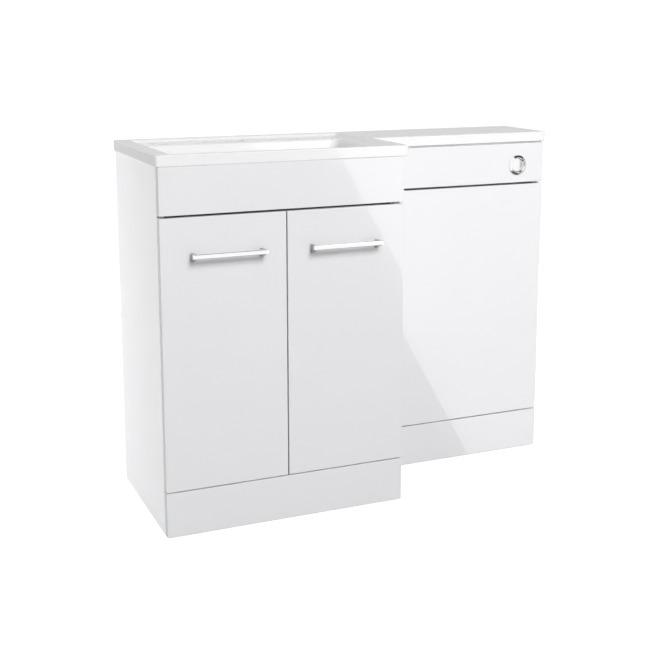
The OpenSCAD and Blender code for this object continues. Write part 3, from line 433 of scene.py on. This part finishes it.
def top_z(x, y):
    bowl = solve(x, y, bowl_sides, FLOOR_Z, TOP)
    ledge = solve(x, y, ledge_sides, LEDGE, TOP)
    z = np.minimum(np.minimum(bowl, ledge), TOP)
    # the bowl's floor falls a little towards the waste
    away = np.hypot(x - WASTE[0], (y - WASTE[1]) * FALL_OVAL)
    fall = FALL * np.clip(away - FALL_FROM, 0, FALL_OVER)
    share = np.clip((FALL_LEVEL - bowl) / FALL_FADE, 0, 1)
    return np.where(bowl < FALL_LEVEL, z + fall * share, z)


def under_z(x, y):
    return np.minimum(solve(x, y, under_sides, UNDER_FLOOR_Z, UNDER), UNDER)


def lines(*spans):
    """Grid lines: each span is from, to, step."""
    out = []
    for a, b, step in spans:
        n = max(1, int(round((b - a) / step)))
        out += [a + (b - a) * i / n for i in range(n)]
    out.append(spans[-1][1])
    return np.array(out)


def nearest(values, at):
    return int(np.argmin(abs(values - at)))


class Net:
    """The worktop's grid, with the vertices and faces made so far."""

    def __init__(self, xs, ys):
        self.xs, self.ys = xs, ys
        self.step = nearest(xs, SX - CR), nearest(ys, WY + CR)      # inner corner of the L
        self.verts, self.faces = [], []

    def vert(self, x, y, z):
        self.verts.append((x * MM, y * MM, z * MM))
        return len(self.verts) - 1

    def patch(self, centre, half):
        """First and last grid lines in X and in Y of the square round a hole."""
        return (nearest(self.xs, centre[0] - half), nearest(self.xs, centre[0] + half),
                nearest(self.ys, centre[1] - half), nearest(self.ys, centre[1] + half))

    def layer(self, heights_at, patches, flip):
        """One surface over the L, open at the patches. Returns each grid point's vertex."""
        xs, ys = self.xs, self.ys
        heights = heights_at(*np.meshgrid(xs, ys, indexing="ij"))
        step_i, step_j = self.step
        ids = -np.ones(heights.shape, int)
        for i in range(len(xs)):
            for j in range(len(ys)):
                if i > step_i and j < step_j:
                    continue
                if any(p[0] < i < p[1] and p[2] < j < p[3] for p in patches):
                    continue
                ids[i, j] = self.vert(xs[i], ys[j], heights[i, j])
        for i in range(len(xs) - 1):
            for j in range(len(ys) - 1):
                if i >= step_i and j < step_j:
                    continue
                if any(p[0] <= i < p[1] and p[2] <= j < p[3] for p in patches):
                    continue
                q = (ids[i, j], ids[i + 1, j], ids[i + 1, j + 1], ids[i, j + 1])
                self.faces.append(q[::-1] if flip else q)
        return ids

    def hole(self, top, low, patch, centre, section):
        """Closes a patch of each layer onto a circle, and joins the layers down the section."""
        i0, i1, j0, j1 = patch
        loop = ([(i, j0) for i in range(i0, i1)] + [(i1, j) for j in range(j0, j1)]
                + [(i, j1) for i in range(i1, i0, -1)] + [(i0, j) for j in range(j1, j0, -1)])
        angles = [math.atan2(self.ys[j] - centre[1], self.xs[i] - centre[0]) for i, j in loop]
        rings = [[top[i, j] for i, j in loop]]
        for r, z in section:
            rings.append([self.vert(centre[0] + r * math.cos(a), centre[1] + r * math.sin(a), z)
                          for a in angles])
        rings.append([low[i, j] for i, j in loop])
        n = len(loop)
        for a, b in zip(rings, rings[1:]):
            for k in range(n):
                self.faces.append((a[k], a[(k + 1) % n], b[(k + 1) % n], b[k]))

    def outline(self):
        """The L's outer edge from the front left corner on: grid point, outer point, way inward."""
        xs, ys = self.xs, self.ys
        step_i, step_j = self.step
        last_i, last_j = len(xs) - 1, len(ys) - 1
        out = []

        def point(i, j, n):
            out.append((i, j, (xs[i] + CR * n[0], ys[j] + CR * n[1]), (-n[0], -n[1])))

        def corner(i, j, start):
            for a in arc(start, start + 90, CORNER_STEPS)[1:-1]:
                point(i, j, (math.cos(a), math.sin(a)))

        from_i, to_j = nearest(xs, SX + CR), nearest(ys, WY - CR)
        for i in range(step_i + 1):
            point(i, 0, (0, -1))
        corner(step_i, 0, -90)
        for j in range(to_j + 1):
            point(step_i, j, (1, 0))
        # round the hollow corner at the step, whose centre lies outside the L
        inner = ([(step_i, j) for j in range(to_j + 1, step_j + 1)]
                 + [(i, step_j) for i in range(step_i + 1, from_i)])
        for i, j in inner:
            gone = (ys[j] - ys[to_j]) + (xs[i] - xs[step_i])
            a = math.radians(180 - 90 * gone / (4 * CR))
            n = (math.cos(a), math.sin(a))
            out.append((i, j, (SX + CR + CR * n[0], WY - CR + CR * n[1]), n))
        for i in range(from_i, last_i + 1):
            point(i, step_j, (0, -1))
        corner(last_i, step_j, -90)
        for j in range(step_j, last_j + 1):
            point(last_i, j, (1, 0))
        corner(last_i, last_j, 0)
        for i in range(last_i, -1, -1):
            point(i, last_j, (0, 1))
        corner(0, last_j, 90)
        for j in range(last_j, -1, -1):
            point(0, j, (-1, 0))
        corner(0, 0, 180)
        return out

    def outer_edge(self, top, low):
        """Carries the edge's section, soft above and below, round the L."""
        flat_top, flat_low = TOP - EDGE_TOP_R, UNDER + EDGE_LOW_R
        section = [(EDGE_TOP_R * (1 - math.sin(a)), TOP - EDGE_TOP_R * (1 - math.cos(a)))
                   for a in arc(0, 90, 6)]
        section += [(0, flat_top - (flat_top - flat_low) * t) for t in (0.08, 0.5, 0.92)]
        section += [(EDGE_LOW_R * (1 - math.cos(a)), UNDER + EDGE_LOW_R * (1 - math.sin(a)))
                    for a in arc(0, 90, 4)]
        strips = []
        for i, j, at, n in self.outline():
            strips.append([top[i, j]] + [self.vert(at[0] + n[0] * d, at[1] + n[1] * d, z)
                                         for d, z in section] + [low[i, j]])
        for a, b in zip(strips, strips[1:] + strips[:1]):
            for m in range(len(a) - 1):
                add_face(self.faces, (a[m], a[m + 1], b[m + 1], b[m]))


def build_worktop():
    """A top layer and a lower one, joined at the holes and round the outer edge."""
    # the lines lie closer together where the surface bends
    net = Net(lines((LX + CR, -521, 7), (-521, -503, 1.0), (-503, -468, 1.6), (-468, -290, 9),
                    (-290, -214, 4), (-214, -68, 9), (-68, -12, 1.8), (-12, 18, 1.25),
                    (18, SX - CR, 1.8), (SX - CR, SX + CR, 2), (SX + CR, RX - CR, 26)),
              lines((FY + CR, -172, 5), (-172, -154, 1.0), (-154, -120, 1.6), (-120, -58, 9),
                    (-58, WY - CR, 4.1), (WY - CR, WY + CR, 2), (WY + CR, 84, 8), (84, 108, 1.8),
                    (108, 134, 1.2), (134, 190, 4), (190, 202, 0.9), (202, BY - CR, 5)))
    patches = net.patch(TAP, TAP_PATCH), net.patch(WASTE, WASTE_PATCH)
    top = net.layer(top_z, patches, flip=False)
    low = net.layer(under_z, patches, flip=True)
    net.hole(top, low, patches[0], TAP, TAP_SECTION)
    net.hole(top, low, patches[1], WASTE, WASTE_SECTION)
    net.outer_edge(top, low)
    mesh = bpy.data.meshes.new("worktop")
    mesh.from_pydata(net.verts, [], net.faces)
    mesh.validate()
    mesh.polygons.foreach_set("use_smooth", [True] * len(mesh.polygons))
    place(as_object("worktop", mesh, cast), "cast_top", "cabinet", "basin_top")


build_worktop()


# ---- Fronts ----

FRONT_EASE = 0.0011
HOLE_SIDES = 64
CUP_X, CUP_ZS, CUP_R = -0.5265, (0.1995, 0.643), 0.0175     # the left door's hinge cups
CUP_DEPTH = (-0.181, -0.1665)
DOORS_MIDDLE = -0.2555
BUTTON_AT = (0.470, 0.0145, 0.784)          # middle of the flush button, on the fascia's face
BUTTON_HOLE_R, BUTTON_DEPTH = 0.0195, (0.0125, 0.0345)


def drill(obj, holes):
    """Bores round holes along Y. holes: x, z, radius, (y from, y to)."""
    cutters = []
    for x, z, r, (y0, y1) in holes:
        bm = bmesh.new()
        bmesh.ops.create_cone(bm, cap_ends=True, segments=HOLE_SIDES, radius1=r, radius2=r,
                              depth=y1 - y0, matrix=Matrix.Translation((x, (y0 + y1) / 2, z))
                              @ Matrix.Rotation(math.pi / 2, 4, "X"))
        cutter = as_object("cutter", as_mesh("cutter", bm))
        m = obj.modifiers.new("hole", "BOOLEAN")
        m.operation, m.object, m.solver = "DIFFERENCE", cutter, "EXACT"
        cutters.append(cutter)
    graph = bpy.context.evaluated_depsgraph_get()
    baked = bpy.data.meshes.new_from_object(obj.evaluated_get(graph))
    obj.modifiers.clear()
    obj.data = baked
    for c in cutters:
        bpy.data.objects.remove(c)


def front(name, node, body, holes=()):
    """A front as a board with softly rounded edges and its holes."""
    obj = eased_box(name, *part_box(node), FRONT_EASE, 4, gloss)
    if holes:
        drill(obj, holes)
    mark_smooth(obj.data)
    place(obj, "gloss_fronts", body, node)
    weighted(obj)


front("fascia_vanity", "vanity_fascia", "cabinet")
front("plinth_vanity", "vanity_plinth", "cabinet")
front("plinth_wc", "wc_plinth", "cabinet")
front("panel_wc", "wc_panel", "cabinet")
front("fascia_wc", "wc_fascia", "cabinet",
      holes=[(BUTTON_AT[0], BUTTON_AT[2], BUTTON_HOLE_R, BUTTON_DEPTH)])
front("leaf_left", "door_left", "door_left",
      holes=[(CUP_X, z, CUP_R, CUP_DEPTH) for z in CUP_ZS])
front("leaf_right", "door_right", "door_right",
      holes=[(2 * DOORS_MIDDLE - CUP_X, z, CUP_R, CUP_DEPTH) for z in CUP_ZS])


# ---- Handles ----

BAR_HALF, BAR_T, BAR_EASE = 0.0056, 0.008, 0.0022   # half the bar's height, thickness, edges
BAR_SHORT_L, BAR_SHORT_R = 0.0006, 0.0004           # what the bar leaves free of the CAD's length
FOOT_W, FOOT_IN, FOOT_EASE = 0.009, 0.002, 0.0009   # a foot's width, distance from the end, edges
FOOT_UP, FOOT_DOWN = 0.0046, 0.0145         # reach of its base above and below the bar's middle
FOOT_BASE = 0.004                           # thickness of that base
NECK_IN, NECK_OUT = 0.0004, 0.0012          # a foot behind the bar: inside its top, past its bottom
TUCK = 0.0006                               # how far a foot stays inside the bar
SHARP = 25                                # edges over this angle are rounded


def soft_prism(outline, x0, x1, ease, segments):
    """A prism along X from an outline of (y, z) points, with its edges rounded."""
    bm = bmesh.new()
    a = [bm.verts.new((x0, y, z)) for y, z in outline]
    b = [bm.verts.new((x1, y, z)) for y, z in outline]
    n = len(outline)
    faces = [bm.faces.new(a[::-1]), bm.faces.new(b)]
    faces += [bm.faces.new((a[i], a[(i + 1) % n], b[(i + 1) % n], b[i])) for i in range(n)]
    bmesh.ops.recalc_face_normals(bm, faces=faces)
    edges = {e for f in faces for e in f.edges if e.calc_face_angle(0) > math.radians(SHARP)}
    bmesh.ops.bevel(bm, geom=list(edges), offset=ease, segments=segments, profile=0.5,
                    affect="EDGES", clamp_overlap=True)
    return bm


def merge(bm, part):
    """Adds one bmesh to another and frees it."""
    mesh = as_mesh("part", part)
    bm.from_mesh(mesh)
    bpy.data.meshes.remove(mesh)


def handle(name, node, body):
    """A bar on two feet, which are drawn in from their bases on the door to the bar."""
    lo, hi = (Vector(v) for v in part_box(node))
    zc, y0, y1 = (lo.z + hi.z) / 2, lo.y, hi.y
    foot = [(y1, -FOOT_DOWN), (y1, FOOT_UP), (y1 - FOOT_BASE, FOOT_UP),
            (y0 + BAR_T, BAR_HALF - NECK_IN), (y0 + TUCK, BAR_HALF - TUCK),
            (y0 + TUCK, TUCK - BAR_HALF), (y0 + BAR_T, -BAR_HALF - NECK_OUT),
            (y1 - FOOT_BASE, -FOOT_DOWN)]
    bar = [(y0, -BAR_HALF), (y0, BAR_HALF), (y0 + BAR_T, BAR_HALF), (y0 + BAR_T, -BAR_HALF)]
    bm = bmesh.new()
    for x in (lo.x + FOOT_IN, hi.x - FOOT_IN - FOOT_W):
        merge(bm, soft_prism([(y, zc + z) for y, z in foot], x, x + FOOT_W, FOOT_EASE, 3))
    feet_faces = len(bm.faces)
    merge(bm, soft_prism([(y, zc + z) for y, z in bar], lo.x + BAR_SHORT_L, hi.x - BAR_SHORT_R,
                         BAR_EASE, 5))
    obj = as_object(name, as_mesh(name, bm), chrome, satin)
    for p in obj.data.polygons[:feet_faces]:
        p.material_index = 1
    mark_smooth(obj.data, angle=40)
    place(obj, "chrome_fittings", body, node)
    weighted(obj)


handle("pull_left", "handle_left", "door_left")
handle("pull_right", "handle_right", "door_right")


# ---- Flush button, in mm: radius, then depth from the fascia's face into the unit ----

TURN_SIDES = 128
# The ring: upright outer edge, cone, crest, inner slope, bore, and the sleeve behind the fascia
RING = ([(26.0, 0.0), (26.0, -0.8), (26.0, -1.6), (26.0, -2.4), (25.9, -2.7), (25.6, -3.0)]
        + [(25.6 - 5.0 * t, -3.0 - 3.7 * t) for t in (0.06, 0.35, 0.65, 0.94, 1.0)]
        + [(20.4, -6.9), (20.1, -7.0), (19.8, -6.9), (19.6, -6.7), (17.7, -4.4), (17.4, -4.0),
           (17.4, 34.0), (19.0, 34.0), (19.0, 0.0)])
CAP_R, CAP_CROWN, CAP_EASE = 17.0, 2.2, 1.1
STEM_R, SKIRT = 4.0, 12.0                   # the cap's stem, and the depth of its skirt
CHAMFER_R, CHAMFER_D = 0.6, 0.5             # at the skirt's end


def lathe(name, profile, body, node, closed):
    """Turns a profile about the button's axis. A closed one joins its last point to its first."""
    verts, faces, rings = [], [], []
    for r, depth in profile:
        count = TURN_SIDES if r else 1
        rings.append(range(len(verts), len(verts) + count))
        for i in range(count):
            a = 2 * math.pi * i / TURN_SIDES
            verts.append((BUTTON_AT[0] + r * MM * math.cos(a), BUTTON_AT[1] + depth * MM,
                          BUTTON_AT[2] + r * MM * math.sin(a)))
    for a, b in zip(rings, rings[1:] + rings[:1] if closed else rings[1:]):
        for i in range(TURN_SIDES):
            j = (i + 1) % TURN_SIDES
            add_face(faces, (a[i % len(a)], a[j % len(a)], b[j % len(b)], b[i % len(b)]))
    mesh = bpy.data.meshes.new(name)
    mesh.from_pydata(verts, [], faces)
    bm = bmesh.new()
    bm.from_mesh(mesh)
    bmesh.ops.recalc_face_normals(bm, faces=bm.faces)
    bm.to_mesh(mesh)
    bm.free()
    obj = as_object(name, mesh, chrome)
    mark_smooth(mesh, angle=42)
    place(obj, "chrome_fittings", body, node)
    weighted(obj)
    return obj


def cap_profile():
    """A crowned face with a soft rim, a skirt and a stem."""
    lo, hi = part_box("button_cap")
    face, end = (lo[1] - BUTTON_AT[1]) / MM, (hi[1] - BUTTON_AT[1]) / MM
    flat_r, steps = CAP_R - CAP_EASE, 12

    def crown(q):
        return face + CAP_CROWN * (q / CAP_R) ** 2
    dome = [(flat_r * k / steps, crown(flat_r * k / steps)) for k in range(steps + 1)]
    rim = [(flat_r + CAP_EASE * math.sin(a), crown(flat_r) + CAP_EASE * (1 - math.cos(a)))
           for a in arc(0, 90, 5)[1:]]
    return dome + rim + [(CAP_R, SKIRT - CHAMFER_D), (CAP_R - CHAMFER_R, SKIRT),
                         (STEM_R, SKIRT), (STEM_R, end), (0.0, end)]


button_pieces = (lathe("bezel_ring", RING, "cabinet", "button_bezel", closed=True),
                 lathe("push_cap", cap_profile(), "flush_button", "button_cap", closed=False))


# ---- Sealing strips between the worktop and the fascias ----

for name, lo, hi, ease in (
        ("seal_wc", (0.0415, 0.0200, 0.8411), (0.5470, 0.0300, 0.8449), 0.0006),
        ("seal_vanity", (-0.5470, -0.1858, 0.8441), (0.0370, -0.1720, 0.8449), 0.00024)):
    strip = eased_box(name, lo, hi, ease, 3, plastic)
    mark_smooth(strip.data)
    place(strip, "white_plastic", "cabinet")


# ---- Stage ----

FLOOR_SIZE = 6
FLOOR_GLOW = 0.84                           # for the camera alone, so that the floor is pure white


def build_stage():
    bm = bmesh.new()
    bmesh.ops.create_grid(bm, x_segments=1, y_segments=1, size=FLOOR_SIZE)
    mat, tree, bsdf = new_material("floor_white")
    floor = as_object("floor", as_mesh("floor", bm), mat)
    floor.visible_glossy = False
    bsdf.inputs["Base Color"].default_value = (0.5, 0.5, 0.5, 1)
    bsdf.inputs["Roughness"].default_value = 0.9
    bsdf.inputs["Specular IOR Level"].default_value = 0.0
    bsdf.inputs["Emission Color"].default_value = (1, 1, 1, 1)
    paths = tree.nodes.new("ShaderNodeLightPath")
    glow = tree.nodes.new("ShaderNodeMath")
    glow.operation = "MULTIPLY"
    glow.inputs[1].default_value = FLOOR_GLOW
    tree.links.new(paths.outputs["Is Camera Ray"], glow.inputs[0])
    tree.links.new(glow.outputs[0], bsdf.inputs["Emission Strength"])


build_stage()


# ---- World: a white studio, whose strength depends on the direction ----

# Each line: direction from and to, strength from and to
AMBIENT = (0.3, 1.0, 0.36, 0.44)            # diffuse rays, by Z: a little stronger from above
BEHIND = (-0.12, 0.10, 0.29, 0.72)          # gloss behind the object, by Z: darker low down
IS_BEHIND = (0.05, 0.55, 0.0, 1.0)          # how far a direction counts as behind, by Y
RIGHT = (0.55, 0.85, 1.0, 0.36)             # gloss on the right, by X
OVERHEAD = (0.76, 0.84, 1.0, 0.08)          # gloss overhead, by Z and a share of X
OVERHEAD_LEAN = 0.42                        # that share
UNDERFOOT = (-0.90, -0.60, 0.10, 1.0)       # gloss from below, by Z
BACKDROP = 1.06                             # what the camera sees: pure white


def build_world():
    world = bpy.data.worlds.new("studio")
    bpy.context.scene.world = world
    world.use_nodes = True
    tree = world.node_tree
    tree.nodes.clear()
    out = tree.nodes.new("ShaderNodeOutputWorld")
    light = tree.nodes.new("ShaderNodeBackground")
    tree.links.new(light.outputs[0], out.inputs["Surface"])
    tc = tree.nodes.new("ShaderNodeTexCoord")
    sep = tree.nodes.new("ShaderNodeSeparateXYZ")
    tree.links.new(tc.outputs["Generated"], sep.inputs[0])
    x, y, z = (sep.outputs[k] for k in "XYZ")
    paths = tree.nodes.new("ShaderNodeLightPath")

    def by(direction, limits):
        return ramp(tree, direction, *limits, kind="SMOOTHSTEP")

    def math_(op, a, b):
        m = tree.nodes.new("ShaderNodeMath")
        m.operation = op
        for k, v in enumerate((a, b)):
            if isinstance(v, (int, float)):
                m.inputs[k].default_value = v
            else:
                tree.links.new(v, m.inputs[k])
        return m.outputs[0]

    def mixed(a, b, share):
        """a where share is 0, and b where it is 1."""
        return math_("ADD", math_("MULTIPLY", a, math_("SUBTRACT", 1.0, share)),
                     math_("MULTIPLY", b, share))

    seen = mixed(1.0, by(z, BEHIND), by(y, IS_BEHIND))
    overhead = math_("ADD", z, math_("MULTIPLY", x, OVERHEAD_LEAN))
    for part in (by(x, RIGHT), by(overhead, OVERHEAD), by(z, UNDERFOOT)):
        seen = math_("MULTIPLY", seen, part)
    mirrored = math_("MAXIMUM", paths.outputs["Is Glossy Ray"],
                     paths.outputs["Is Transmission Ray"])
    strength = mixed(by(z, AMBIENT), seen, mirrored)
    strength = mixed(strength, BACKDROP, paths.outputs["Is Camera Ray"])
    tree.links.new(strength, light.inputs["Strength"])
    light.inputs["Color"].default_value = (1, 1, 1, 1)


build_world()


# ---- Lamps ----

MIDDLE_Z = 0.45                             # about half the object's height, where the key points
KEY_DISTANCE, KEY_HEIGHT = 6.0, math.radians(36)
KEY_SIZE, FILL_SIZE = (2.2, 2.2), (1.2, 0.66)
CARD_Y, CARD_RADIANCE = -2.0, 3.2


def power(level, distance_squared):
    """A lamp's power that lights a white surface facing it, so far away, to this level."""
    return level * math.pi ** 2 * distance_squared


def area(name, at, to, size, energy, diffuse=True, glossy=True):
    """A rectangular lamp that the camera doesn't see."""
    data = bpy.data.lights.new(name, "AREA")
    data.shape, data.size, data.size_y = "RECTANGLE", *size
    data.energy = energy
    obj = bpy.data.objects.new(name, data)
    bpy.context.collection.objects.link(obj)
    obj.location = at
    obj.rotation_euler = (Vector(to) - Vector(at)).to_track_quat("-Z", "Y").to_euler()
    obj.visible_camera = False
    obj.visible_diffuse = diffuse
    obj.visible_glossy = glossy
    return obj


# Key from the front and above
key_at = (0.0, -KEY_DISTANCE * math.cos(KEY_HEIGHT), MIDDLE_Z + KEY_DISTANCE * math.sin(KEY_HEIGHT))
area("key", key_at, (0.0, 0.0, MIDDLE_Z), KEY_SIZE, power(0.675, KEY_DISTANCE ** 2), glossy=False)
area("fill_left", (-2.3, 1.6, 0.34), (-0.55, 0.0, 0.34), FILL_SIZE, power(0.575, 7.6), glossy=False)
# A weaker one for the right sides, which the photograph doesn't show
area("fill_right", (2.3, 1.9, 0.5), (0.55, 0.1, 0.45), FILL_SIZE, power(0.36, 6.4), glossy=False)

# The chrome button keeps its own reflections of the studio and doesn't mirror the cards
unlit = bpy.data.collections.new("not_under_cards")
for piece in button_pieces:
    unlit.objects.link(piece)
for link in unlit.collection_objects:
    link.light_linking.link_state = "EXCLUDE"


def card(name, corner, u, v, w, h):
    """A card that only gloss sees. It spans w along u and h along v from a corner."""
    mid = corner + u * (w / 2) + v * (h / 2)
    obj = area(name, mid, mid + Vector((0, 1, 0)), (w, h), CARD_RADIANCE * math.pi * w * h,
               diffuse=False)
    obj.rotation_euler = Matrix((u, v, u.cross(v))).transposed().to_euler()
    obj.light_linking.receiver_collection = unlit


# The fronts mirror the low card's leaning edge, which crosses the floor's level at LOW_X and runs
# between two heights. The bowl's back wall mirrors the high card's upright edge.
LOW_X, LOW_FROM, LOW_TO, LOW_WIDE = 1.023, -1.3, 0.8, 1.8
LEAN = math.atan(0.559)
along = Vector((-math.sin(LEAN), 0, math.cos(LEAN)))
across = Vector((math.cos(LEAN), 0, math.sin(LEAN)))
low_corner = Vector((LOW_X, CARD_Y, 0)) + along * (LOW_FROM / math.cos(LEAN))
card("card_low", low_corner, across, along, LOW_WIDE, (LOW_TO - LOW_FROM) / math.cos(LEAN))
card("card_high", Vector((0.63, CARD_Y, 1.45)), Vector((1, 0, 0)), Vector((0, 0, 1)), 0.7, 1.1)

bpy.context.scene.view_settings.view_transform = "Standard"
